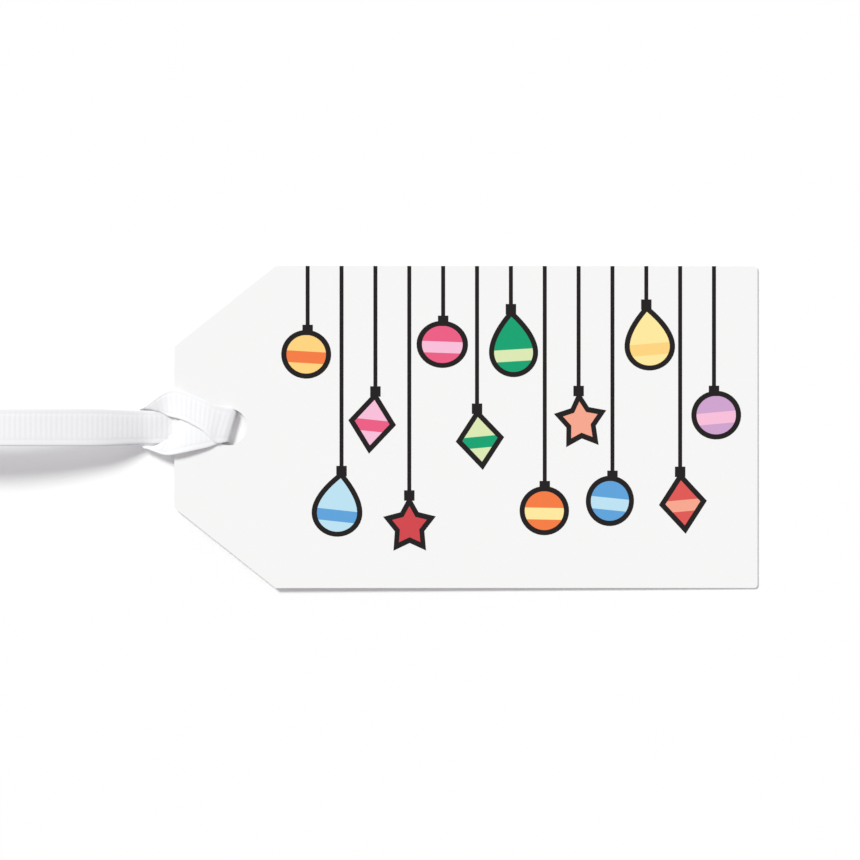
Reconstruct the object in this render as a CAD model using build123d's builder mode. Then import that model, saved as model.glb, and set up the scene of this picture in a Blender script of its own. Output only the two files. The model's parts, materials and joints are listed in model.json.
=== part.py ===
"""Gift tag: a clipped white card with a narrow grosgrain ribbon hitched through its punched hole.

Millimetres. The tag lies on its back: +X runs along the card away from the hole, +Y across it and +Z up.
The origin is under the middle of the card, on the surface that the tag lies on. Two strands of ribbon lie
under the hole end and hold it up, so the card slopes down to its far edge, which touches the surface.
"""

import math
import os

from build123d import *

# Card stock, with two corners clipped at the hole end
CARD_LENGTH = 101.6
CARD_WIDTH = 56.1
CARD_THICKNESS = 0.36
CLIP_LENGTH = 17.6
CLIP_WIDTH = 14.0
CORNER_RADIUS = 0.6
HOLE_DIAMETER = 6.35
HOLE_FROM_END = 9.5

# Grosgrain ribbon, doubled and hitched
RIBBON_WIDTH = 6.35
RIBBON_THICKNESS = 0.3
LAYER_GAP = 0.08  # between one layer of ribbon and the next, or the card
FLOOR_GAP = 0.02
HOLE_CLEARANCE = 0.55  # the ribbon is drawn in to pass the hole with this much room at each side
FOLD_BEHIND_HOLE = 0.85  # how far the turn through the hole lies from the hole's centre, towards the end
BEARING_BEHIND_HOLE = 0.3  # and how far that way the strands carry the card
FOLD_YAW = 16.0  # degrees, how far the turn is skewed across the hole
FOLD_SPREAD = 0.26  # share by which the strands open again as they come up out of the hole
FOLD_SHIFT = 0.35  # how far they lie across the hole there
ROOT_GATHER = 0.9  # share of the ribbon's width that is left where the loop grips the tails
GATHER_RUN = 10.0  # the tails open to their full width over this length

# Tail roots: under the card, then up past its end and over the loop, to the fold where the tails lift
EDGE_GAP = 0.45
RISE_RADIUS = 1.0
RISE_ANGLE = 16.0
RISE_RUN = 4.4
HINGE_GAP = 0.1
LOOP_START = 1.4  # how far up the roots the loop's inner edge lies, and then its outer edge
LOOP_END = 5.3
LOOP_SAG = 0.3  # how far the loop's outer edge hangs below the tails
LOWER_TAIL_ASIDE = 0.35  # the lower tail shows this much past the upper one

# Layers of ribbon, counted out from the card, and where the strip is given a cross-section
INNER_STRAND = 1
OUTER_STRAND = 2
LOOP = 3
RISE_STATIONS = (1.0, 0.67, 0.33, 0.0)  # shares of the turn up past the card's end
HOLE_STATIONS = (-90, -60, -30, 0, 30, 60, 90)  # degrees of the turn through the hole

# Legs of the loop. Rows over the card, from the hole to the card's end: share of the way from the end to
# the fold, place across in ribbon widths and lift in millimetres, for the outer and then the inner edge.
UPPER_LEG_OVER_CARD = [
    ((0.90, 0.58, 0.05), (0.82, -0.33, 0.20)),
    ((0.70, 0.70, 0.15), (0.64, -0.15, 0.28)),
    ((0.46, 0.83, 0.30), (0.43, 0.02, 0.38)),
    ((0.23, 0.97, 0.45), (0.22, 0.17, 0.42)),
    ((0.01, 1.06, 0.55), (0.04, 0.25, 0.48)),
]
LOWER_LEG_OVER_CARD = [
    ((0.86, -0.46, 0.05), (0.90, 0.45, 0.00)),
    ((0.70, -0.55, 0.35), (0.70, 0.36, 0.02)),
    ((0.46, -0.62, 0.80), (0.46, 0.29, 0.12)),
    ((0.23, -0.69, 1.00), (0.23, 0.19, 0.28)),
    ((0.02, -0.75, 1.10), (0.02, 0.02, 0.50)),
]
# Rows past the card's end, round the side of the tails: millimetres past the end, place across in ribbon
# widths and height above the card's face, for the outer and then the inner edge.
UPPER_LEG_ROUND_TAILS = [
    ((1.5, 0.99, 1.15), (1.0, 0.29, 0.90)),
    ((2.9, 0.835, 1.10), (2.0, 0.38, 0.85)),
    ((4.1, 0.67, 1.00), (2.75, 0.455, 0.80)),
    ((5.2, 0.58, 0.80), (3.15, 0.49, 0.55)),
    ((6.0, 0.52, 0.40), (3.2, 0.495, 0.05)),
]
LOWER_LEG_ROUND_TAILS = [
    ((1.5, -0.78, 1.25), (0.9, -0.20, 0.85)),
    ((2.9, -0.71, 1.20), (1.9, -0.36, 0.85)),
    ((4.1, -0.63, 1.05), (2.65, -0.46, 0.80)),
    ((4.9, -0.58, 0.75), (3.1, -0.54, 0.55)),
    ((5.4, -0.57, 0.30), (3.2, -0.57, 0.05)),
]
# Rows under the tails: place across in ribbon widths and height above the loop's middle, for the outer and
# then the inner edge.
UNDER_TAILS = [
    ((0.43, -0.25), (0.53, 0.05)),
    ((0.20, -0.10), (0.30, 0.00)),
]

# Free tails: the angle at which they leave the fold, then the route of the lower one, as distance past the
# hinge and height above the surface
TAIL_ANGLE = 22.0
FIRST_RUN = 6.5
TAIL_ROUTE = [
    (11.0, 5.6), (21.0, 7.7), (32.0, 8.8), (42.0, 7.9), (52.0, 5.2), (61.0, 2.1), (69.5, 0.62)
]
TAIL_LANDS = 78.0
LOWER_TAIL_END = 86.0
UPPER_TAIL_END = 83.0
END_SLANT = 3.0  # how far the cut slants across the ribbon's end
SLANT_OVERRUN = 1.2  # the slanting cut runs past the ribbon's far side
ARC_SHARE = 0.45  # share of the shorter run that each arc takes up

# Places that follow from the sizes above
card_end = -CARD_LENGTH / 2
fold_x = card_end + HOLE_FROM_END - FOLD_BEHIND_HOLE
bearing_x = card_end + HOLE_FROM_END - BEARING_BEHIND_HOLE
hole_x = card_end + HOLE_FROM_END
layer_step = RIBBON_THICKNESS + LAYER_GAP
hole_half = min(RIBBON_WIDTH, HOLE_DIAMETER - 2 * HOLE_CLEARANCE) / 2
root_half = ROOT_GATHER * RIBBON_WIDTH / 2
rise_x = card_end - EDGE_GAP
rise = math.radians(RISE_ANGLE)
leave = math.radians(TAIL_ANGLE)

tilt = math.atan((2 * layer_step + FLOOR_GAP) / (CARD_LENGTH / 2 - bearing_x))
far_edge_x = (CARD_LENGTH * math.cos(tilt) - CARD_THICKNESS * math.sin(tilt)) / 2
card_plane = Plane(
    origin=(far_edge_x + card_end * math.cos(tilt), 0, -card_end * math.sin(tilt)),
    x_dir=(math.cos(tilt), 0, -math.sin(tilt)),
    z_dir=(math.sin(tilt), 0, math.cos(tilt)),
)


def depth(layer):
    """How far the middle of a layer of ribbon lies from the card's face, counted from the card."""
    return (layer - 0.5) * RIBBON_THICKNESS + layer * LAYER_GAP


def rise_point(layer, angle):
    """A point of a layer on the arc that turns it up past the card's end."""
    radius = RISE_RADIUS + (layer - INNER_STRAND) * layer_step
    top = RISE_RADIUS - depth(INNER_STRAND)
    return Vector(rise_x - radius * math.sin(angle), 0, top - radius * math.cos(angle))


def root_point(layer, run):
    """A point of a layer on the slope past the card's end."""
    return rise_point(layer, rise) + rise_direction * run


rise_direction = Vector(-math.cos(rise), 0, math.sin(rise))
rise_normal = Vector(math.sin(rise), 0, math.cos(rise))
leave_direction = Vector(-math.cos(leave), 0, math.sin(leave))


def half_loop(layer, side, over_card, round_tails, aside):
    """Outer and inner edge points of half the hitch, from a tail root to the loop's side.

    The side is the way that the leg's outer edge faces, +1 or -1 along Y, and aside is how far the tail
    root is shifted across.
    """
    rows = []
    path = [root_point(layer, RISE_RUN)]
    path += [rise_point(layer, share * rise) for share in RISE_STATIONS]
    for index, point in enumerate(path):
        shift = aside * (1 - index / (len(path) - 1))
        across = Vector(0, side * root_half, 0)
        middle = point + Vector(0, shift, 0)
        rows.append((middle + across, middle - across))
    radius = CARD_THICKNESS / 2 + depth(layer)
    for angle in HOLE_STATIONS:
        turn = math.radians(angle)
        yaw = math.radians(FOLD_YAW) * min(1, 1 + angle / 90)
        out = max(0, math.sin(turn)) ** 2
        half = hole_half * (1 + FOLD_SPREAD * out)
        across = Vector(math.sin(yaw), math.cos(yaw), 0) * side * half
        middle = Vector(
            fold_x + radius * math.cos(turn),
            FOLD_SHIFT * out,
            CARD_THICKNESS / 2 + radius * math.sin(turn),
        )
        rows.append((middle + across, middle - across))
    seat = CARD_THICKNESS + depth(layer)
    for row in over_card:
        edges = [
            Vector(card_end + share * (fold_x - card_end), place * RIBBON_WIDTH, seat + lift)
            for share, place, lift in row
        ]
        rows.append(tuple(edges))
    for row in round_tails:
        edges = [
            Vector(card_end - past, place * RIBBON_WIDTH, CARD_THICKNESS + height)
            for past, place, height in row
        ]
        rows.append(tuple(edges))
    for (outer_place, outer_height), (inner_place, inner_height) in UNDER_TAILS:
        outer = loop_outer + Vector(0, side * outer_place * RIBBON_WIDTH, outer_height)
        inner = loop_inner + Vector(0, side * inner_place * RIBBON_WIDTH, inner_height)
        rows.append((outer, inner))
    return rows


# The loop's middle lies against the underside of the tails, as a third layer
loop_inner = root_point(LOOP, LOOP_START)
loop_outer = root_point(LOOP, LOOP_END) - Vector(0, 0, LOOP_SAG)
lower_half = half_loop(OUTER_STRAND, 1, UPPER_LEG_OVER_CARD, UPPER_LEG_ROUND_TAILS, -LOWER_TAIL_ASIDE)
upper_half = half_loop(INNER_STRAND, -1, LOWER_LEG_OVER_CARD, LOWER_LEG_ROUND_TAILS, 0.0)
hitch_rows = lower_half + [(loop_outer, loop_inner)] + upper_half[::-1]


def row_middle(row):
    outer, inner = row
    return (outer + inner) * 0.5


def row_plane(rows, index):
    """The plane of a cross-section: X across the ribbon and Z along it."""
    outer, inner = rows[index]
    before = rows[max(index - 1, 0)]
    after = rows[min(index + 1, len(rows) - 1)]
    across = (outer - inner).normalized()
    along = row_middle(after) - row_middle(before)
    along = along - across * along.dot(across)
    return Plane(origin=row_middle(rows[index]), x_dir=across, z_dir=along)


# Card
with BuildPart() as card:
    with BuildSketch(card_plane):
        with BuildLine():
            Polyline(
                (-card_end, -CARD_WIDTH / 2),
                (-card_end, CARD_WIDTH / 2),
                (card_end + CLIP_LENGTH, CARD_WIDTH / 2),
                (card_end, CARD_WIDTH / 2 - CLIP_WIDTH),
                (card_end, CLIP_WIDTH - CARD_WIDTH / 2),
                (card_end + CLIP_LENGTH, -CARD_WIDTH / 2),
                close=True,
            )
        make_face()
        fillet(vertices().group_by(Axis.X)[-1], radius=CORNER_RADIUS)
        with Locations((hole_x, 0)):
            Circle(HOLE_DIAMETER / 2, mode=Mode.SUBTRACT)
    extrude(amount=CARD_THICKNESS)
card.part.label = "card"

# Hitch: one strip from the lower tail's root, round the loop, to the upper tail's root
with BuildPart() as ribbon_hitch:
    for index, (outer, inner) in enumerate(hitch_rows):
        section = row_plane(hitch_rows, index)
        with BuildSketch(card_plane * section.location):
            Rectangle((outer - inner).length, RIBBON_THICKNESS)
    loft(ruled=True)
ribbon_hitch.part.label = "ribbon_hitch"


def to_surface(point):
    """A point given on the card's own plane, in the frame of the surface that the tag lies on."""
    return card_plane.from_local_coords(point)


def tail_route(layer, end):
    """Points of a tail's middle line, from the hinge to its cut end."""
    start = to_surface(root_point(layer, RISE_RUN + HINGE_GAP))
    low_start = to_surface(root_point(OUTER_STRAND, RISE_RUN + HINGE_GAP))
    heading = to_surface(leave_direction) - to_surface(Vector(0, 0, 0))
    lift = Vector(0, 0, (OUTER_STRAND - layer) * layer_step / math.cos(leave))
    floor = FLOOR_GAP + RIBBON_THICKNESS / 2
    route = [low_start + heading * FIRST_RUN]
    route += [Vector(low_start.X - past, 0, height) for past, height in TAIL_ROUTE]
    route += [Vector(low_start.X - past, 0, floor) for past in (TAIL_LANDS, end)]
    return [start] + [point + lift for point in route]


def arc_radii(points):
    """The largest arc that each corner of a route has room for."""
    radii = []
    for before, corner, after in zip(points, points[1:], points[2:]):
        arriving = corner - before
        leaving = after - corner
        half_turn = math.radians(arriving.get_angle(leaving)) / 2
        room = ARC_SHARE * min(arriving.length, leaving.length)
        radii.append(room / math.tan(half_turn))
    return radii


def make_tail(name, layer, end, aside):
    """One free tail: a flat strip along its route, with its end cut on the slant."""
    points = tail_route(layer, end)
    low_side = aside - RIBBON_WIDTH / 2
    past_side = SLANT_OVERRUN * RIBBON_WIDTH
    # The loop gathers the tail's start: the cuts there run a ribbon's width past both ends of that stretch
    opening = RIBBON_WIDTH * (RIBBON_WIDTH / 2 - root_half) / GATHER_RUN
    narrow_x = points[0].X + RIBBON_WIDTH
    narrow_half = root_half - opening
    full_x = points[0].X - GATHER_RUN - RIBBON_WIDTH
    full_half = RIBBON_WIDTH / 2 + opening
    with BuildPart() as tail:
        with BuildLine() as route:
            FilletPolyline(*points, radius=arc_radii(points))
        start = Plane(points[0], x_dir=(0, 1, 0), z_dir=points[1] - points[0])
        with BuildSketch(start):
            with Locations((aside, 0)):
                Rectangle(RIBBON_WIDTH, RIBBON_THICKNESS)
        sweep(path=route.line)
        with BuildSketch(Plane.XY):
            with BuildLine():
                Polyline(
                    (points[-1].X - END_SLANT, low_side),
                    (points[-1].X, low_side),
                    (points[-1].X + SLANT_OVERRUN * END_SLANT, low_side + past_side),
                    (points[-1].X - END_SLANT, low_side + past_side),
                    close=True,
                )
            make_face()
            for side in (1, -1):
                with BuildLine():
                    Polyline(
                        (narrow_x, aside + side * narrow_half),
                        (full_x, aside + side * full_half),
                        (narrow_x, aside + side * full_half),
                        close=True,
                    )
                make_face()
        extrude(amount=RIBBON_WIDTH, both=True, mode=Mode.SUBTRACT)
    length = route.wire().length
    expected = (length - END_SLANT / 2) * RIBBON_WIDTH * RIBBON_THICKNESS
    expected -= GATHER_RUN * (RIBBON_WIDTH / 2 - root_half) * RIBBON_THICKNESS
    print(name, "length", round(length, 2), "radii", [round(radius, 1) for radius in arc_radii(points)])
    print(name, "volume", round(tail.part.volume, 3), "section times length", round(expected, 3))
    tail.part.label = name
    return tail.part


lower_tail = make_tail("ribbon_lower_tail", OUTER_STRAND, LOWER_TAIL_END, -LOWER_TAIL_ASIDE)
upper_tail = make_tail("ribbon_upper_tail", INNER_STRAND, UPPER_TAIL_END, 0.0)

# Places of the joints: the hitch turns about the hole, and the tails fold along one line across their tops
hole_centre = to_surface(Vector(hole_x, 0, CARD_THICKNESS / 2))
fold_line = to_surface(
    root_point(INNER_STRAND, RISE_RUN + HINGE_GAP / 2)
    + rise_normal * (RIBBON_THICKNESS / 2)
)
hitch_length = sum(
    (row_middle(after) - row_middle(before)).length
    for before, after in zip(hitch_rows, hitch_rows[1:])
)
print("hole centre", hole_centre, "card normal", card_plane.z_dir)
print("fold line of the tails", fold_line)
print("ribbon in the hitch", round(hitch_length, 1))

os.makedirs("parts", exist_ok=True)
export_step(card.part, "parts/card.step")
export_step(ribbon_hitch.part, "parts/ribbon_hitch.step")
export_step(lower_tail, "parts/ribbon_lower_tail.step")
export_step(upper_tail, "parts/ribbon_upper_tail.step")
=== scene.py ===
"""Gift tag: a white clipped card, printed on its face, with a grosgrain ribbon hitched through its hole.

Metres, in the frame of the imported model: +X along the card away from the hole, +Y across it and +Z up.
The card's own plane leans a little, because two strands of ribbon lie under its hole end.
"""

import json
import math
import random

import bpy
from bpy.props import FloatProperty, FloatVectorProperty, PointerProperty
from bpy.types import Operator, Panel, PropertyGroup
from mathutils import Matrix, Vector


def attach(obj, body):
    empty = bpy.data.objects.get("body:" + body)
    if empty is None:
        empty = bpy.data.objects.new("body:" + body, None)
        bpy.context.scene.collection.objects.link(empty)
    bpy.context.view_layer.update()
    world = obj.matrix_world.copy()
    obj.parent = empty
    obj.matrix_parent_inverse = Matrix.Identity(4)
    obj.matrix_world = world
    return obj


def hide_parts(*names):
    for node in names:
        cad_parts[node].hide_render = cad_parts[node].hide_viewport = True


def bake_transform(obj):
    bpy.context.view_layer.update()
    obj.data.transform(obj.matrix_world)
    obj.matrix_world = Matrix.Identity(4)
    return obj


bl_info = {
    "name": "Gift tag",
    "version": (1, 0, 0),
    "blender": (4, 5, 0),
    "location": "View3D > Sidebar > Gift tag",
    "description": "Builds a printed card gift tag with a hitched grosgrain ribbon",
    "category": "Object",
}

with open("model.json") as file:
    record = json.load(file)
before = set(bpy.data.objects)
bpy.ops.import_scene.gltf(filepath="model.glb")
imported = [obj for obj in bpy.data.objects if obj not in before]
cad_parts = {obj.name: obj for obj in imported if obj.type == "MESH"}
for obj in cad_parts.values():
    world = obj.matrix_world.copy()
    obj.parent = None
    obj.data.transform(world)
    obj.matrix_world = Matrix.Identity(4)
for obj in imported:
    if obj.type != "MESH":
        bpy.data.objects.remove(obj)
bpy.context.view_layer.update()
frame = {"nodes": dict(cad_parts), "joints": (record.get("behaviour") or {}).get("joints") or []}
joints = {joint["name"]: joint for joint in frame["joints"]}
hole_centre = Vector(joints["hitch_swivel"]["pos_m"])
card_up = Vector(joints["hitch_swivel"]["axis"]).normalized()
card_along = Vector((card_up.z, 0.0, -card_up.x))

MM = 0.001

# Card, in millimetres on its own plane: origin at its middle, height 0 at its underside
CARD_END = -50.8
CARD_THICKNESS = 0.36
HOLE_X = -41.3
TOP_EDGE_Y = 28.05

# Ribbon, in millimetres
RIBBON_WIDTH = 6.35
RIBBON_THICKNESS = 0.3
LAYER_GAP = 0.08
INNER_STRAND, OUTER_STRAND, LOOP = 1, 2, 3  # layers of ribbon, counted from the card

# Fold in the hole, in millimetres on the card's plane
FOLD_X = -41.55
FOLD_YAW = math.radians(16.0)
FOLD_SPREAD = 0.26  # how much wider than in the hole it opens on top, as a share
FOLD_SHIFT = 0.35
FOLD_DIVE = {INNER_STRAND: 0.4, OUTER_STRAND: 1.3}  # how far back from the fold a strand starts down
FOLD_BLUNT = 0.5  # power that flattens the fold's upper half
HOLE_HALF = 2.625  # half the ribbon's width where the hole gathers it

# Roots of the tails, in millimetres on the card's plane: they turn up past the card's end
ROOT_HALF = 2.8575
RISE_X = -51.1
RISE_RADIUS = 1.0
RISE_ANGLE = math.radians(15.5)
RISE_RUN = 4.55
RISE_STATIONS = (1.0, 0.67, 0.33, 0.0)
SEAM = 0.05
CREASE = 0.6  # the fold between a root and its tail bends over about this length
LOWER_TAIL_ASIDE = 0.35  # how far the lower tail lies off the middle line at its root
ASIDE_LOST = 0.65  # share of that which it loses further out

# Loop round the tails, in millimetres along the roots
LOOP_START = 1.57
LOOP_END = 5.46
LOOP_SAG = 0.3

# Legs over the card. For the outer and the inner edge: share of the way from the card's end
# to LEGS_X, place across in ribbon widths, and lift over the strand's seat in millimetres
LEGS_X = -42.15
UPPER_LEG_OVER_CARD = [
    ((0.80, 0.61, 0.20), (0.70, -0.28, 0.34)),
    ((0.64, 0.73, 0.28), (0.58, -0.10, 0.38)),
    ((0.46, 0.83, 0.24), (0.43, 0.02, 0.33)),
    ((0.23, 0.97, 0.14), (0.22, 0.17, 0.24)),
    ((0.01, 1.06, -0.04), (0.04, 0.25, -0.05)),
]
LOWER_LEG_OVER_CARD = [
    ((0.83, -0.48, 0.08), (0.85, 0.44, 0.00)),
    ((0.68, -0.56, 0.33), (0.68, 0.39, 0.02)),
    ((0.46, -0.62, 0.65), (0.44, 0.34, 0.08)),
    ((0.23, -0.69, 0.85), (0.20, 0.26, 0.12)),
    ((0.02, -0.75, 0.95), (0.04, 0.13, 0.02)),
]
# The same legs past the card's end: millimetres past it, place across, and height over the card's face
UPPER_LEG_ROUND_TAILS = [
    ((1.5, 0.99, 0.42), (1.0, 0.29, 0.15)),
    ((2.9, 0.835, 0.50), (2.0, 0.38, 0.14)),
    ((4.1, 0.67, 0.75), (2.75, 0.445, 0.34)),
    ((5.2, 0.54, 0.95), (3.15, 0.455, 0.40)),
    ((6.0, 0.51, 0.45), (3.2, 0.485, 0.05)),
]
LOWER_LEG_ROUND_TAILS = [
    ((1.5, -0.78, 1.12), (0.45, -0.20, 0.55)),
    ((2.9, -0.71, 1.12), (1.4, -0.36, 0.75)),
    ((4.1, -0.63, 1.05), (2.4, -0.46, 0.80)),
    ((4.9, -0.58, 0.75), (3.1, -0.54, 0.55)),
    ((5.4, -0.57, 0.30), (3.2, -0.57, 0.05)),
]
# Under the tails: place across and height from the loop's middle, for the outer and the inner edge
UNDER_TAILS = [((0.43, -0.25), (0.53, 0.05)), ((0.20, -0.10), (0.30, 0.00))]

# Free tails, in metres: X and Z of each route after the seam
LOWER_TAIL_ROUTE = [
    (-0.061956, 0.004071), (-0.06695, 0.0056), (-0.07695, 0.0077), (-0.08795, 0.0088),
    (-0.09795, 0.0079), (-0.10795, 0.0052), (-0.11695, 0.0021), (-0.12545, 0.00062),
    (-0.13395, 0.00017), (-0.14195, 0.00017),
]
UPPER_TAIL_ROUTE = [
    (-0.061956, 0.004481), (-0.06695, 0.00601), (-0.07695, 0.00811), (-0.08795, 0.00921),
    (-0.09795, 0.00831), (-0.10795, 0.00561), (-0.11695, 0.00251), (-0.12545, 0.00103),
    (-0.13395, 0.00058), (-0.13895, 0.00058),
]
END_SLANT = 3.0  # millimetres by which the cut end leans along the ribbon

# Lengths along the ribbon, in metres
WIDTH_OPENS_OVER = 0.010
ASIDE_EASES_OVER = 0.015
TAIL_FLATTENS_OVER = 0.014
HITCH_FLATTENS_OVER = 0.003

# Weave: places across the ribbon, as shares of half its width, and how thick it is there as a share of
# its thickness. None is left to the ribs, between the two grooves inside the selvedges
COLUMNS = [
    (-1.0, 0.45), (-0.975, 0.78), (-0.92, 0.90), (-0.78, 0.90), (-0.715, 0.70), (-0.665, None), (-0.55, None),
    (-0.36, None), (-0.18, None), (0.0, None), (0.18, None), (0.36, None), (0.55, None), (0.665, None),
    (0.715, 0.70), (0.78, 0.90), (0.92, 0.90), (0.975, 0.78), (1.0, 0.45),
]
RIB_GROOVE = 0.8  # thickness between two ribs, as a share of that over them
RIB_ROUNDNESS = 0.7
STEPS_PER_RIB = 8
ROOT_CROWN = 0.0002  # how far a root's edges droop below its middle
CROWN_POWER = 3
# The upper tail's root reaches back into the hitch as a rounded tongue, so its fold never opens:
# how far back, share of the thickness and how far it is raised
TONGUE = [(0.00024, 0.05, 0.00004), (0.0002, 0.26, 0.00003), (0.00012, 0.58, 0.0), (0.000004, 0.66, 0.0)]
SMOOTH_BELOW = math.radians(50)

# Printing inks, as sRGB hex
INKS = {
    "yellow": "FFD480",
    "pink": "F9BFDA",
    "hot_pink": "ED5F85",
    "green": "1AA272",
    "salmon": "F8A78F",
    "light_blue": "BDE3F3",
    "red": "D1494F",
    "light_green": "DDEAB5",
    "orange": "F67D46",
    "blue": "60A3DB",
    "pale_yellow": "FFE99F",
    "coral": "E05A56",
    "lilac": "CFA3CF",
    "black": "231F20",
}

# Ornaments from left to right: shape, middle across the card in millimetres, fill and band inks
ORNAMENTS = [
    ("bauble", 12.6, "yellow", "orange"),
    ("drop", -15.2, "light_blue", "blue"),
    ("diamond", 0.6, "pink", "hot_pink"),
    ("star", -17.0, "red", None),
    ("bauble", 14.2, "hot_pink", "pink"),
    ("diamond", -2.4, "light_green", "green"),
    ("drop", 13.0, "green", "light_green"),
    ("bauble", -14.6, "orange", "pale_yellow"),
    ("star", 1.2, "salmon", None),
    ("bauble", -12.8, "blue", "light_blue"),
    ("drop", 13.8, "pale_yellow", "yellow"),
    ("diamond", -13.4, "coral", "salmon"),
    ("bauble", 2.0, "lilac", "pink"),
]
FIRST_STRING_X = -27.6
STRING_PITCH = 5.9
SIDES = {"bauble": 40, "drop": 40, "diamond": 4, "star": 10}
STAR_WAIST = 0.56  # a star's inner corners, as a share of its points
STAR_SIZE = 1.18  # a star's points, in radii
DIAMOND_SIZE = (0.95, 1.3)  # half its width and height, in radii
DROP_TIP = 0.75  # how far a drop's tip is drawn up, in radii
DROP_NECK = 1.5  # how far round the tip is drawn with it, in radii
BAND = (-0.36, 0.12)  # bottom and top of the band, in radii
CAP = 2.6  # the cap is this many strings wide
CAP_RAISED = 0.003  # the cap is printed over the outline's top, and lies this much higher, in millimetres
HAND_SEED = 5
HAND_SQUASH = 0.05
HAND_LEAN = 7.0  # degrees
FILM_SUNK = 0.005  # how far the ink's underside lies in the card, in millimetres

# Stage, in metres
CAMERA_X, CAMERA_Y = -0.00629, -0.00052
CARD_FACE_Z = 0.0008  # about the height of the card's face, which the camera's height is counted from
TABLE_WIDTH = 4.0
TABLE_DROP = 0.00001  # keeps the table clear of the card's lowest edge

# Textures
PLY = 0.0009  # length of the marks that the plies leave on the card's cut edge, in metres
PLY_SQUEEZE = 8.0  # they are this much longer than thick
INK_THINNING = 0.06  # how much paler the ink is where the fibres took less of it
WAVE_BAND = math.tau / 20  # spacing of a Wave texture's bands at scale 1


def linear(code):
    """Turn an sRGB hex value into linear red, green and blue."""
    channels = [int(code[i:i + 2], 16) / 255 for i in (0, 2, 4)]
    return [c / 12.92 if c <= 0.04045 else ((c + 0.055) / 1.055) ** 2.4 for c in channels]


def length(name, description, default):
    """A length that a user may change, in metres."""
    return FloatProperty(
        name=name, description=description, default=default, min=0.0, unit="LENGTH", precision=5
    )


def colour(name, description, code):
    """A colour that a user may change."""
    return FloatVectorProperty(
        name=name, description=description, default=linear(code), size=3, subtype="COLOR", min=0.0, max=1.0
    )


def bearing(name, description, degrees):
    """An angle that a user may change."""
    return FloatProperty(
        name=name, description=description, default=math.radians(degrees), subtype="ANGLE"
    )


def light_level(name, description, default):
    """A light's strength that a user may change."""
    return FloatProperty(name=name, description=description, default=default, min=0.0)


class GiftTagCard(PropertyGroup):
    stock: colour("Stock", "Face of the card stock", "F5F5F5")
    stock_fleck: colour("Fleck", "Paler and darker fibres in the stock", "F7F7F6")
    cut_edge: colour("Cut edge", "Raw edge of the stock", "EFEEEB")
    fibre: length("Fibre", "Size of the fibres that show in the face", 0.00035)


class GiftTagPrint(PropertyGroup):
    outline: length("Outline", "Width of an ornament's outline", 0.0009)
    string: length("String", "Width of a string", 0.0007)
    ornament: length("Ornament", "Radius of a bauble", 0.0043)
    film: length("Film", "Thickness of the ink on the card", 0.000012)


GiftTagPrint.__annotations__.update(
    {f"ink_{name}": colour(name.replace("_", " "), "Printing ink", code) for name, code in INKS.items()}
)


class GiftTagRibbon(PropertyGroup):
    cloth: colour("Cloth", "Polyester of the ribbon", "F9F9FB")
    # Painted shade: a slightly darker cloth colour that stands for the shade down between two ribs
    groove_shade: colour("Groove", "Cloth down between two ribs", "F7F7FA")
    width: length("Width", "Width of the ribbon", RIBBON_WIDTH * MM)
    thickness: length("Thickness", "Thickness over the ribs", RIBBON_THICKNESS * MM)
    rib_pitch: length("Rib pitch", "Spacing of the cross ribs", 0.0009)
    thread: length("Thread", "Spacing of the lengthwise threads", 0.00025)


class GiftTagStage(PropertyGroup):
    floor: colour("Floor", "Table under the tag", "FFFFFF")
    camera_height: length("Camera height", "Camera above the card", 0.75)
    picture_width: length("Picture width", "Width of the picture at the card", 0.1498)
    key_strength: light_level("Key", "Strength of the key light", 2.38)
    key_colour: colour("Key colour", "Colour of the key light", "FBFFFB")
    key_elevation: bearing("Key elevation", "Height of the key light", 45)
    key_azimuth: bearing("Key azimuth", "Turn of the key from +Y to -X", 43)
    key_softness: bearing("Key softness", "Width of the key light", 15)
    fill_strength: light_level("Fill", "Strength of the light all round", 0.48)
    fill_colour: colour("Fill colour", "Colour of the light all round, which tints the shadows", "FFFBFF")


def add_node(tree, kind, inputs=None, **settings):
    """Add a node, set its properties, and set or link its inputs."""
    node = tree.nodes.new(kind)
    for name, value in settings.items():
        setattr(node, name, value)
    for key, value in (inputs or {}).items():
        if isinstance(value, bpy.types.NodeSocket):
            tree.links.new(value, node.inputs[key])
        else:
            node.inputs[key].default_value = value
    return node


def new_material(name):
    """An empty node material and its tree."""
    material = bpy.data.materials.new(name)
    material.use_nodes = True
    material.node_tree.nodes.clear()
    return material, material.node_tree


def finish_material(tree, surface):
    add_node(tree, "ShaderNodeOutputMaterial", {"Surface": surface.outputs["BSDF"]})


def per_size(size):
    """Texture scale that gives features of a size in metres."""
    return 1.0 / size


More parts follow.
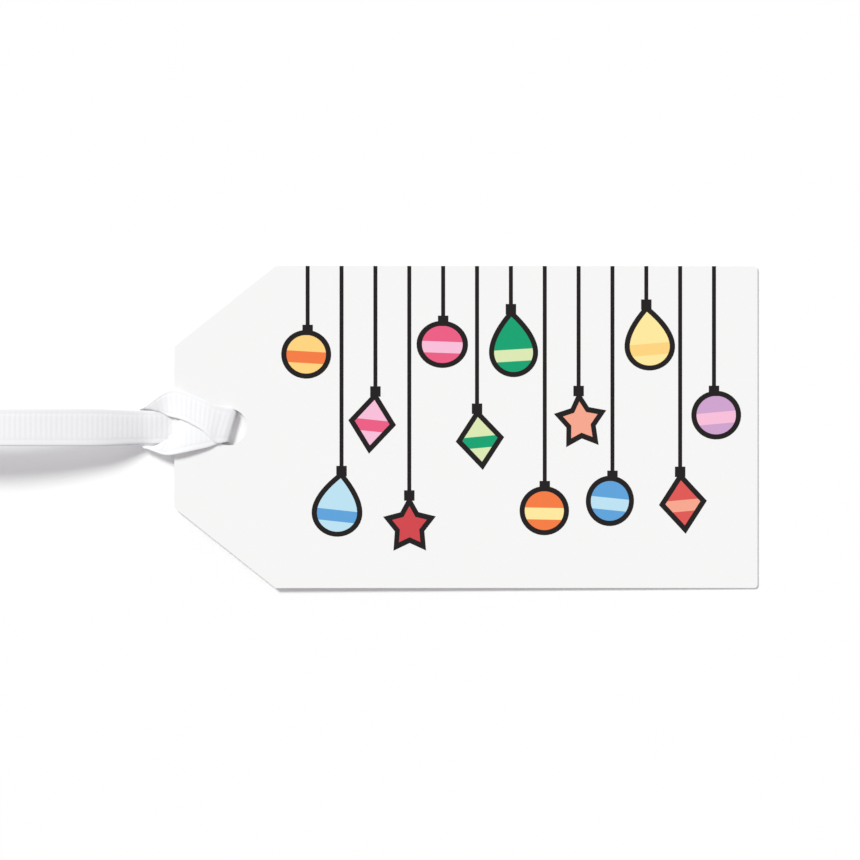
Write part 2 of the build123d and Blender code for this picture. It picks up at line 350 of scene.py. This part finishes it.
def card_stock(card):
    """Uncoated white card stock, calendered and die cut: matte, with faint fibres, and a raw layered edge."""
    material, tree = new_material("White card stock")
    place = add_node(tree, "ShaderNodeTexCoord").outputs["Object"]
    fibres = add_node(
        tree, "ShaderNodeTexNoise",
        {"Vector": place, "Scale": per_size(card.fibre), "Detail": 4.0, "Roughness": 0.6, "Distortion": 0.8},
    )
    face = add_node(
        tree, "ShaderNodeMix", {0: fibres.outputs["Fac"], 6: (*card.stock, 1.0), 7: (*card.stock_fleck, 1.0)},
        data_type="RGBA",
    )
    # The raw edge shows the plies of the board, drawn three times as thick as they are so that they show
    normal = add_node(tree, "ShaderNodeNewGeometry").outputs["True Normal"]
    facing = add_node(
        tree, "ShaderNodeVectorMath", {0: normal, 1: card_up}, operation="DOT_PRODUCT"
    ).outputs["Value"]
    flat = add_node(tree, "ShaderNodeMath", {0: facing}, operation="ABSOLUTE").outputs[0]
    on_edge = add_node(tree, "ShaderNodeMath", {0: flat, 1: 0.5}, operation="LESS_THAN").outputs[0]
    squeezed = add_node(
        tree, "ShaderNodeMapping", {"Vector": place, "Scale": (1.0, 1.0, PLY_SQUEEZE)}
    ).outputs[0]
    plies = add_node(
        tree, "ShaderNodeTexNoise", {"Vector": squeezed, "Scale": per_size(PLY), "Detail": 3.0}
    ).outputs["Fac"]
    edge = add_node(
        tree, "ShaderNodeMix", {0: plies, 6: (*card.cut_edge, 1.0), 7: (*card.stock, 1.0)}, data_type="RGBA"
    )
    shown = add_node(
        tree, "ShaderNodeMix", {0: on_edge, 6: face.outputs[2], 7: edge.outputs[2]}, data_type="RGBA"
    )
    bump = add_node(
        tree, "ShaderNodeBump", {"Height": fibres.outputs["Fac"], "Strength": 0.12, "Distance": 0.00002}
    )
    surface = add_node(
        tree, "ShaderNodeBsdfPrincipled",
        {
            "Base Color": shown.outputs[2], "Roughness": 0.82, "IOR": 1.45, "Specular IOR Level": 0.3,
            "Normal": bump.outputs[0],
        },
    )
    finish_material(tree, surface)
    return material


def printing_ink(name, ink, fibre):
    """Offset ink soaked into card stock: flat colour, a little mottled where the fibres took less of it."""
    material, tree = new_material(f"Offset ink {name.replace('_', ' ')}")
    place = add_node(tree, "ShaderNodeTexCoord").outputs["Object"]
    mottle = add_node(
        tree, "ShaderNodeTexNoise",
        {"Vector": place, "Scale": per_size(fibre), "Detail": 3.0, "Roughness": 0.6},
    )
    thin = [value + INK_THINNING * value * (1.0 - value) for value in ink]
    tint = add_node(
        tree, "ShaderNodeMix", {0: mottle.outputs["Fac"], 6: (*ink, 1.0), 7: (*thin, 1.0)}, data_type="RGBA"
    )
    bump = add_node(
        tree, "ShaderNodeBump", {"Height": mottle.outputs["Fac"], "Strength": 0.1, "Distance": 0.00002}
    )
    surface = add_node(
        tree, "ShaderNodeBsdfPrincipled",
        {
            "Base Color": tint.outputs[2], "Roughness": 0.7, "IOR": 1.48, "Specular IOR Level": 0.08,
            "Normal": bump.outputs[0],
        },
    )
    finish_material(tree, surface)
    return material


def grosgrain(ribbon):
    """Woven polyester: a soft sheen off the ribs, fine threads that run along the ribbon over them, and
    painted shade down between the ribs.
    """
    material = bpy.data.materials.get("White polyester grosgrain")
    if material:
        return material
    material, tree = new_material("White polyester grosgrain")
    # The map is in metres: along the ribbon, then across it
    weave = add_node(tree, "ShaderNodeUVMap", uv_map="weave").outputs["UV"]
    threads = add_node(
        tree, "ShaderNodeTexWave",
        # Real threads are a third as wide; these are as fine as a picture of the tag can show
        {"Vector": weave, "Scale": WAVE_BAND * per_size(ribbon.thread), "Distortion": 0.6, "Detail": 1.0},
        wave_type="BANDS", bands_direction="Y", wave_profile="SIN",
    )
    # Painted shade: the colour turns to the darker groove colour between the ribs, once per rib pitch
    along = add_node(tree, "ShaderNodeSeparateXYZ", {0: weave}).outputs["X"]
    turns = add_node(
        tree, "ShaderNodeMath", {0: along, 1: math.pi / ribbon.rib_pitch}, operation="MULTIPLY"
    ).outputs[0]
    swell = add_node(tree, "ShaderNodeMath", {0: turns}, operation="COSINE").outputs[0]
    rib = add_node(tree, "ShaderNodeMath", {0: swell}, operation="ABSOLUTE").outputs[0]
    shade = add_node(
        tree, "ShaderNodeMix", {0: rib, 6: (*ribbon.groove_shade, 1.0), 7: (*ribbon.cloth, 1.0)}, data_type="RGBA"
    )
    bump = add_node(
        tree, "ShaderNodeBump", {"Height": threads.outputs["Fac"], "Strength": 0.15, "Distance": 0.00003}
    )
    surface = add_node(
        tree, "ShaderNodeBsdfPrincipled",
        {
            "Base Color": shade.outputs[2], "Roughness": 0.6, "IOR": 1.5, "Specular IOR Level": 0.3,
            "Sheen Weight": 0.08, "Sheen Roughness": 0.4, "Normal": bump.outputs[0],
        },
    )
    finish_material(tree, surface)
    return material


def from_card(point):
    """A point on the card's own plane, in millimetres, put into the frame of the model."""
    x, y, z = point
    up = card_up * (z - CARD_THICKNESS / 2) * MM
    return hole_centre + card_along * (x - HOLE_X) * MM + Vector((0.0, y * MM, 0.0)) + up


def depth(layer):
    """How far the middle of a layer of ribbon lies from the card's face, counted from the card."""
    return (layer - 0.5) * RIBBON_THICKNESS + layer * LAYER_GAP


def rise_point(layer, angle):
    """A point of a layer on the arc that turns it up past the card's end."""
    radius = RISE_RADIUS + (layer - 1) * (RIBBON_THICKNESS + LAYER_GAP)
    top = RISE_RADIUS - depth(INNER_STRAND)
    return Vector((RISE_X - radius * math.sin(angle), 0.0, top - radius * math.cos(angle)))


def root_point(layer, run):
    """A point of a layer on the slope past the card's end."""
    return rise_point(layer, RISE_ANGLE) + Vector((-math.cos(RISE_ANGLE), 0.0, math.sin(RISE_ANGLE))) * run


def half_loop(layer, side, over_card, round_tails, aside):
    """Outer and inner edge points of half the hitch, from a tail's root to the loop's side."""
    path = [root_point(layer, RISE_RUN + SEAM)]
    path += [rise_point(layer, share * RISE_ANGLE) for share in RISE_STATIONS]
    rows = []
    for index, point in enumerate(path):
        middle = point + Vector((0.0, aside * (1 - index / (len(path) - 1)), 0.0))
        across = Vector((0.0, side * ROOT_HALF, 0.0))
        rows.append((middle + across, middle - across))
    radius = CARD_THICKNESS / 2 + depth(layer)
    for angle in range(-90, 91, 30):
        turn = math.radians(angle)
        yaw = FOLD_YAW * min(1.0, 1 + angle / 90)
        out = max(0.0, math.sin(turn)) ** 2
        half = HOLE_HALF * (1 + FOLD_SPREAD * out)
        across = Vector((math.sin(yaw), math.cos(yaw), 0.0)) * side * half
        up = CARD_THICKNESS / 2 + radius * math.sin(turn)
        # It slopes down into the hole, then turns back under the card in a tight fold
        reach = radius * math.cos(turn) ** (FOLD_BLUNT if angle > 0 else 1.0) - FOLD_DIVE[layer] * out ** 2
        middle = Vector((FOLD_X + reach, FOLD_SHIFT * out, up))
        rows.append((middle + across, middle - across))
    seat = CARD_THICKNESS + depth(layer)
    for row in over_card:
        rows.append(tuple(
            Vector((CARD_END + share * (LEGS_X - CARD_END), place * RIBBON_WIDTH, seat + lift))
            for share, place, lift in row
        ))
    for row in round_tails:
        rows.append(tuple(
            Vector((CARD_END - past, place * RIBBON_WIDTH, CARD_THICKNESS + height))
            for past, place, height in row
        ))
    loop_outer, loop_inner = loop_middle()
    for (outer_place, outer_height), (inner_place, inner_height) in UNDER_TAILS:
        outer = loop_outer + Vector((0.0, side * outer_place * RIBBON_WIDTH, outer_height))
        inner = loop_inner + Vector((0.0, side * inner_place * RIBBON_WIDTH, inner_height))
        rows.append((outer, inner))
    return rows


def loop_middle():
    """Outer and inner edge of the loop where it lies against the underside of the tails."""
    return root_point(LOOP, LOOP_END) - Vector((0.0, 0.0, LOOP_SAG)), root_point(LOOP, LOOP_START)


def hitch_rows():
    """Edge points of the whole hitch, from the lower tail's seam to the upper tail's."""
    first = half_loop(OUTER_STRAND, 1, UPPER_LEG_OVER_CARD, UPPER_LEG_ROUND_TAILS, -LOWER_TAIL_ASIDE)
    last = half_loop(INNER_STRAND, -1, LOWER_LEG_OVER_CARD, LOWER_LEG_ROUND_TAILS, 0.0)
    rows = first + [loop_middle()] + last[::-1]
    return [(from_card(outer), from_card(inner)) for outer, inner in rows]


def read_spline(points):
    """Points along the smooth NURBS curve that has these control points."""
    curve = bpy.data.curves.new("route", "CURVE")
    curve.dimensions = "3D"
    spline = curve.splines.new("NURBS")
    spline.points.add(len(points) - 1)
    for control, point in zip(spline.points, points):
        control.co = (*point, 1.0)
    spline.order_u = 3
    spline.use_endpoint_u = True
    curve.resolution_u = 24
    holder = bpy.data.objects.new("route", curve)
    bpy.context.scene.collection.objects.link(holder)
    bpy.context.view_layer.update()
    graph = bpy.context.evaluated_depsgraph_get()
    mesh = bpy.data.meshes.new_from_object(holder.evaluated_get(graph))
    found = [vertex.co.copy() for vertex in mesh.vertices]
    bpy.data.meshes.remove(mesh)
    bpy.data.objects.remove(holder)
    bpy.data.curves.remove(curve)
    return found


def even_rows(outers, inners, step):
    """Pairs of edge points spaced evenly along the middle line, with how far along each pair is."""
    middles = [(outer + inner) / 2 for outer, inner in zip(outers, inners)]
    reach = [0.0]
    for before, after in zip(middles, middles[1:]):
        reach.append(reach[-1] + (after - before).length)
    count = round(reach[-1] / step)
    rows = []
    at = 0
    for index in range(count + 1):
        want = reach[-1] * index / count
        while at < len(reach) - 2 and reach[at + 1] < want:
            at += 1
        share = (want - reach[at]) / max(reach[at + 1] - reach[at], 1e-12)
        rows.append((outers[at].lerp(outers[at + 1], share), inners[at].lerp(inners[at + 1], share), want))
    return rows


def smooth(value):
    """Ease from 0 to 1."""
    value = min(1.0, max(0.0, value))
    return value * value * (3 - 2 * value)


def deselect_all():
    if bpy.context.object and bpy.context.object.mode != "OBJECT":
        bpy.ops.object.mode_set(mode="OBJECT")
    bpy.ops.object.select_all(action="DESELECT")


def weave_ribbon(name, rows, ribbon, crown, start_lip=()):
    """Lay a grid along two edges, and thicken it into ribs and selvedges.

    The crown of a row is how far its edges droop below its middle. The rows of a start lip come before the
    others, each with its share of the thickness and how far it is raised, in place of ribs.
    """
    deselect_all()
    bpy.ops.mesh.primitive_grid_add(x_subdivisions=len(COLUMNS) - 1, y_subdivisions=len(rows) - 1, size=1.0)
    piece = bpy.context.object
    piece.name = name
    piece.data.name = name
    ribs = piece.vertex_groups.new(name="thickness")
    run = rows[-1][2]
    pitch = run / round(run / ribbon.rib_pitch)
    places = []
    weave = []
    for index, (outer, inner, along) in enumerate(rows):
        before = rows[max(index - 1, 0)]
        after = rows[min(index + 1, len(rows) - 1)]
        heading = (after[0] + after[1] - before[0] - before[1]).normalized()
        across = outer - inner
        up = across.cross(heading).normalized()
        if index == 0:
            facing = 1.0 if up.z > 0 else -1.0
        up *= facing
        lip = start_lip[index] if index < len(start_lip) else None
        for column, (place, share) in enumerate(COLUMNS):
            droop = crown(along) * abs(place) ** CROWN_POWER
            rib = RIB_GROOVE + (1 - RIB_GROOVE) * abs(math.cos(math.pi * along / pitch)) ** RIB_ROUNDNESS
            thick, raised = lip or (rib if share is None else share, 0.0)
            places.append((outer + inner) / 2 + across * place / 2 + up * (raised - droop))
            weave.append((along, place * ribbon.width / 2))
            ribs.add([index * len(COLUMNS) + column], thick, "REPLACE")
    piece.data.vertices.foreach_set("co", [value for place in places for value in place])
    layer = piece.data.uv_layers[0]
    layer.name = "weave"
    for loop in piece.data.loops:
        layer.data[loop.index].uv = weave[loop.vertex_index]
    solid = piece.modifiers.new("thickness", "SOLIDIFY")
    solid.thickness = ribbon.thickness
    solid.offset = 0.0
    solid.vertex_group = "thickness"
    solid.thickness_vertex_group = 0.0
    solid.use_rim = True
    bpy.ops.object.modifier_apply(modifier=solid.name)
    piece.vertex_groups.clear()
    bpy.ops.object.mode_set(mode="EDIT")
    bpy.ops.mesh.select_all(action="SELECT")
    bpy.ops.mesh.normals_make_consistent(inside=False)
    bpy.ops.object.mode_set(mode="OBJECT")
    bpy.ops.object.shade_smooth_by_angle(angle=SMOOTH_BELOW)
    piece.data.materials.append(grosgrain(ribbon))
    return piece


class GIFTTAG_OT_stage(Operator):
    """Set up the table, the soft studio light and the camera that looks straight down on the tag"""

    bl_idname = "gift_tag.stage"
    bl_label = "Stage"

    def execute(self, context):
        stage = context.scene.gift_tag_stage
        deselect_all()
        bpy.ops.object.camera_add(location=(CAMERA_X, CAMERA_Y, stage.camera_height + CARD_FACE_Z))
        camera = context.object
        camera.data.lens = camera.data.sensor_width * stage.camera_height / stage.picture_width
        camera.data.clip_end = 10.0
        context.scene.camera = camera

        azimuth, elevation = stage.key_azimuth, stage.key_elevation
        out = math.cos(elevation)
        toward = Vector((-math.sin(azimuth) * out, math.cos(azimuth) * out, math.sin(elevation)))
        bpy.ops.object.light_add(type="SUN", location=toward)
        key = context.object
        key.name = "key_light"
        key.rotation_euler = toward.to_track_quat("Z", "Y").to_euler()
        key.data.energy = stage.key_strength
        key.data.color = stage.key_colour
        key.data.angle = stage.key_softness

        world = bpy.data.worlds.new("Soft studio")
        context.scene.world = world
        world.use_nodes = True
        tree = world.node_tree
        tree.nodes.clear()
        # White where it is seen; elsewhere it is the fill light, with the shadows' tint
        ray = add_node(tree, "ShaderNodeLightPath")
        seen = add_node(
            tree, "ShaderNodeMath",
            {0: ray.outputs["Is Camera Ray"], 1: ray.outputs["Is Transmission Ray"]}, operation="MAXIMUM",
        )
        seen = add_node(
            tree, "ShaderNodeMath", {0: seen.outputs[0], 1: ray.outputs["Is Glossy Ray"]}, operation="MAXIMUM"
        )
        strength = add_node(
            tree, "ShaderNodeMix", {0: seen.outputs[0], 2: stage.fill_strength, 3: 1.0}, data_type="FLOAT"
        )
        tint = add_node(
            tree, "ShaderNodeMix",
            {0: seen.outputs[0], 6: (*stage.fill_colour, 1.0), 7: (1.0, 1.0, 1.0, 1.0)}, data_type="RGBA",
        )
        sky = add_node(
            tree, "ShaderNodeBackground", {"Color": tint.outputs[2], "Strength": strength.outputs[0]}
        )
        add_node(tree, "ShaderNodeOutputWorld", {"Surface": sky.outputs[0]})

        bpy.ops.mesh.primitive_plane_add(size=TABLE_WIDTH, location=(0.0, 0.0, -TABLE_DROP))
        floor = context.object
        floor.name = "table"
        material, tree = new_material("Matte white table")
        surface = add_node(
            tree, "ShaderNodeBsdfPrincipled",
            {"Base Color": (*stage.floor, 1.0), "Roughness": 1.0, "Specular IOR Level": 0.0},
        )
        finish_material(tree, surface)
        floor.data.materials.append(material)
        context.scene.view_settings.view_transform = "Standard"
        return {"FINISHED"}


def make_tail(name, layer, route, aside, ribbon, lip):
    """One free tail of the ribbon along its route, with its end cut on the slant."""
    seam = from_card(root_point(layer, RISE_RUN + SEAM))
    leaving = from_card(root_point(layer, RISE_RUN + SEAM + CREASE))
    points = [seam, leaving] + [Vector((x, 0.0, z)) for x, z in route]
    path = read_spline(points)
    reach = 0.0
    outers, inners = [], []
    for index, point in enumerate(path):
        if index:
            reach += (point - path[index - 1]).length
        # The loop draws the ribbon in, and it opens to its full width further out
        half = MM * (ROOT_HALF + (RIBBON_WIDTH / 2 - ROOT_HALF) * smooth(reach / WIDTH_OPENS_OVER))
        # A tail that leaves the knot to one side comes back nearly to the middle line
        offset = aside * MM * (1 - ASIDE_LOST * smooth(reach / ASIDE_EASES_OVER))
        middle = point + Vector((0.0, offset, 0.0))
        outers.append(middle + Vector((0.0, half, 0.0)))
        inners.append(middle - Vector((0.0, half, 0.0)))
    rows = even_rows(outers, inners, ribbon.rib_pitch / STEPS_PER_RIB)
    if lip:
        heading = (points[0] - points[1]).normalized()
        tongue = [(outers[0] + heading * back, inners[0] + heading * back, 0.0) for back, _, _ in lip]
        rows = tongue + rows
    tail = weave_ribbon(
        name, rows, ribbon, lambda along: ROOT_CROWN * (1 - smooth(along / TAIL_FLATTENS_OVER)),
        [(share, raised) for _, share, raised in lip],
    )
    end = inners[-1]
    bpy.ops.object.mode_set(mode="EDIT")
    bpy.ops.mesh.select_all(action="SELECT")
    # The cut's direction is a unit vector, because the operator holds each of its numbers between -1 and 1
    slant = Vector((-RIBBON_WIDTH, END_SLANT, 0.0)).normalized()
    bpy.ops.mesh.bisect(plane_co=end, plane_no=slant, use_fill=True, clear_outer=True, threshold=1e-7)
    bpy.ops.object.mode_set(mode="OBJECT")
    # The middle line stops at the slanting cut
    return tail, [point for point in path if point.x > end.x + END_SLANT / 2 * MM]


class GIFTTAG_OT_hitch(Operator):
    """Make the hitched middle of the ribbon, through the hole and round the tails"""

    bl_idname = "gift_tag.hitch"
    bl_label = "Ribbon hitch"

    def execute(self, context):
        ribbon = context.scene.gift_tag_ribbon
        edges = hitch_rows()
        outers = read_spline([outer for outer, _ in edges])
        inners = read_spline([inner for _, inner in edges])
        rows = even_rows(outers, inners, ribbon.rib_pitch / STEPS_PER_RIB)
        run = rows[-1][2]
        hitch = weave_ribbon(
            "hitch", rows, ribbon,
            lambda along: ROOT_CROWN * (1 - smooth(min(along, run - along) / HITCH_FLATTENS_OVER)),
        )
        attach(hitch, "hitch")
        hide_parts("ribbon_hitch")
        return {"FINISHED"}


class GIFTTAG_OT_tails(Operator):
    """Make the two free tails of the ribbon"""

    bl_idname = "gift_tag.tails"
    bl_label = "Ribbon tails"

    def execute(self, context):
        ribbon = context.scene.gift_tag_ribbon
        lower, lower_path = make_tail(
            "lower_tail", OUTER_STRAND, LOWER_TAIL_ROUTE, -LOWER_TAIL_ASIDE, ribbon, []
        )
        upper, upper_path = make_tail("upper_tail", INNER_STRAND, UPPER_TAIL_ROUTE, 0.0, ribbon, TONGUE)
        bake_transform(lower)
        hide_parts("ribbon_lower_tail")
        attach(upper, "upper_tail")
        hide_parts("ribbon_upper_tail")
        return {"FINISHED"}


class GIFTTAG_OT_card(Operator):
    """Give the card its stock"""

    bl_idname = "gift_tag.card"
    bl_label = "Card"

    def execute(self, context):
        card = frame["nodes"]["card"]
        card.data.materials.clear()
        card.data.materials.append(card_stock(context.scene.gift_tag_card))
        return {"FINISHED"}


def pick(piece, chosen):
    """Select these vertices of a mesh and go into edit mode."""
    bpy.ops.object.mode_set(mode="EDIT")
    bpy.ops.mesh.select_mode(type="VERT")
    bpy.ops.mesh.select_all(action="DESELECT")
    bpy.ops.object.mode_set(mode="OBJECT")
    for index in chosen:
        piece.data.vertices[index].select = True
    bpy.ops.object.mode_set(mode="EDIT")


def draw_ornament(shape, radius, outline):
    """An ornament about the origin, flat, as a black outline round one face, and the height of its top."""
    deselect_all()
    bpy.ops.mesh.primitive_circle_add(vertices=SIDES[shape], radius=radius, fill_type="NGON")
    ornament = bpy.context.object
    if shape == "star":
        pick(ornament, range(1, SIDES[shape], 2))
        bpy.ops.transform.resize(value=(STAR_WAIST, STAR_WAIST, 1.0), center_override=(0.0, 0.0, 0.0))
        pick(ornament, range(SIDES[shape]))
        bpy.ops.transform.resize(value=(STAR_SIZE, STAR_SIZE, 1.0), center_override=(0.0, 0.0, 0.0))
    elif shape == "diamond":
        pick(ornament, range(SIDES[shape]))
        bpy.ops.transform.resize(value=(*DIAMOND_SIZE, 1.0), center_override=(0.0, 0.0, 0.0))
    elif shape == "drop":
        pick(ornament, [0])
        bpy.ops.transform.translate(
            value=(0.0, DROP_TIP * radius, 0.0), use_proportional_edit=True,
            proportional_edit_falloff="SHARP", proportional_size=DROP_NECK * radius,
        )
    else:
        pick(ornament, range(SIDES[shape]))
    bpy.ops.object.mode_set(mode="OBJECT")
    top = max(vertex.co.y for vertex in ornament.data.vertices)
    bpy.ops.object.mode_set(mode="EDIT")
    bpy.ops.mesh.select_mode(type="FACE")
    bpy.ops.mesh.select_all(action="SELECT")
    bpy.ops.mesh.inset(thickness=outline, use_even_offset=True)
    return ornament, top


def paint_band(ornament, radius):
    """Cut a band across the fill of the ornament in edit mode, and give it the third ink."""
    low, high = (height * radius for height in BAND)
    for height in (low, high):
        bpy.ops.object.material_slot_select()
        bpy.ops.mesh.bisect(plane_co=(0.0, height, 0.0), plane_no=(0.0, 1.0, 0.0), threshold=1e-7)
    bpy.ops.object.mode_set(mode="OBJECT")
    for face in ornament.data.polygons:
        if face.material_index == 1 and low < face.center.y < high:
            face.material_index = 2
    bpy.ops.object.mode_set(mode="EDIT")


def ink_bar(x, y, width, height, raised=0.0):
    """Add a bar of ink to the piece in edit mode."""
    bpy.ops.mesh.primitive_plane_add(size=1.0, location=(x, y, raised))
    bpy.ops.transform.resize(value=(width, height, 1.0), center_override=(x, y, 0.0))


class GIFTTAG_OT_print(Operator):
    """Print hanging ornaments on the card's face, each on its string from the card's edge"""

    bl_idname = "gift_tag.print"
    bl_label = "Printed ornaments"

    def execute(self, context):
        settings = context.scene.gift_tag_print
        fibre = context.scene.gift_tag_card.fibre
        inks = {name: printing_ink(name, getattr(settings, f"ink_{name}"), fibre) for name in INKS}
        chance = random.Random(HAND_SEED)
        place = Matrix((
            (card_along.x, 0.0, card_up.x, 0.0), (0.0, 1.0, 0.0, 0.0),
            (card_along.z, 0.0, card_up.z, 0.0), (0.0, 0.0, 0.0, 1.0),
        ))
        place.translation = from_card((0.0, 0.0, CARD_THICKNESS - FILM_SUNK))
        for index, (shape, middle, fill, band) in enumerate(ORNAMENTS):
            ornament, top = draw_ornament(shape, settings.ornament, settings.outline)
            ornament.name = f"print_{shape}_{index + 1:02d}"
            ornament.data.name = ornament.name
            for name in ("black", fill, band or fill):
                ornament.data.materials.append(inks[name])
            ornament.active_material_index = 1
            bpy.ops.object.material_slot_assign()
            if band:
                paint_band(ornament, settings.ornament)
            # Each one is drawn by hand: a little squashed, and hanging a little askew from its cap
            bpy.ops.mesh.select_all(action="SELECT")
            stretch = chance.uniform(1.0 - HAND_SQUASH, 1.0 + HAND_SQUASH)
            bpy.ops.transform.resize(value=(stretch, 2.0 - stretch, 1.0), center_override=(0.0, top, 0.0))
            lean = math.radians(chance.uniform(-HAND_LEAN, HAND_LEAN))
            bpy.ops.transform.rotate(value=lean, orient_axis="Z", center_override=(0.0, top, 0.0))
            x = (FIRST_STRING_X + index * STRING_PITCH) * MM
            bpy.ops.transform.translate(value=(x, middle * MM, 0.0))
            ornament.active_material_index = 0
            cap = CAP * settings.string
            cap_top = middle * MM + top + cap / 2
            ink_bar(x, cap_top - cap / 2, cap, cap, CAP_RAISED * MM)
            ink_bar(x, (cap_top + TOP_EDGE_Y * MM) / 2, settings.string, TOP_EDGE_Y * MM - cap_top)
            bpy.ops.object.mode_set(mode="OBJECT")
            film = ornament.modifiers.new("film", "SOLIDIFY")
            film.thickness = settings.film
            film.offset = 1.0
            bpy.ops.object.modifier_apply(modifier=film.name)
            ornament.matrix_world = place
            bpy.ops.object.transform_apply(location=True, rotation=True, scale=True)
            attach(ornament, "card")
        return {"FINISHED"}


class GIFTTAG_PT_sidebar(Panel):
    bl_idname = "GIFTTAG_PT_sidebar"
    bl_label = "Gift tag"
    bl_space_type = "VIEW_3D"
    bl_region_type = "UI"
    bl_category = "Gift tag"

    def draw(self, context):
        for operator in OPERATORS:
            self.layout.operator(operator.bl_idname)
        for name in GROUPS:
            box = self.layout.box()
            group = getattr(context.scene, name)
            for field in group.__annotations__:
                box.prop(group, field)


OPERATORS = [GIFTTAG_OT_stage, GIFTTAG_OT_hitch, GIFTTAG_OT_tails, GIFTTAG_OT_card, GIFTTAG_OT_print]
GROUPS = {
    "gift_tag_card": GiftTagCard,
    "gift_tag_print": GiftTagPrint,
    "gift_tag_ribbon": GiftTagRibbon,
    "gift_tag_stage": GiftTagStage,
}


def register():
    for group in GROUPS.values():
        bpy.utils.register_class(group)
    for name, group in GROUPS.items():
        setattr(bpy.types.Scene, name, PointerProperty(type=group))
    for operator in OPERATORS:
        bpy.utils.register_class(operator)
    bpy.utils.register_class(GIFTTAG_PT_sidebar)


def unregister():
    bpy.utils.unregister_class(GIFTTAG_PT_sidebar)
    for operator in reversed(OPERATORS):
        bpy.utils.unregister_class(operator)
    for name, group in GROUPS.items():
        delattr(bpy.types.Scene, name)
        bpy.utils.unregister_class(group)


def main():
    register()
    bpy.ops.gift_tag.stage()
    bpy.ops.gift_tag.hitch()
    bpy.ops.gift_tag.tails()
    bpy.ops.gift_tag.card()
    bpy.ops.gift_tag.print()


if __name__ == "__main__":
    main()
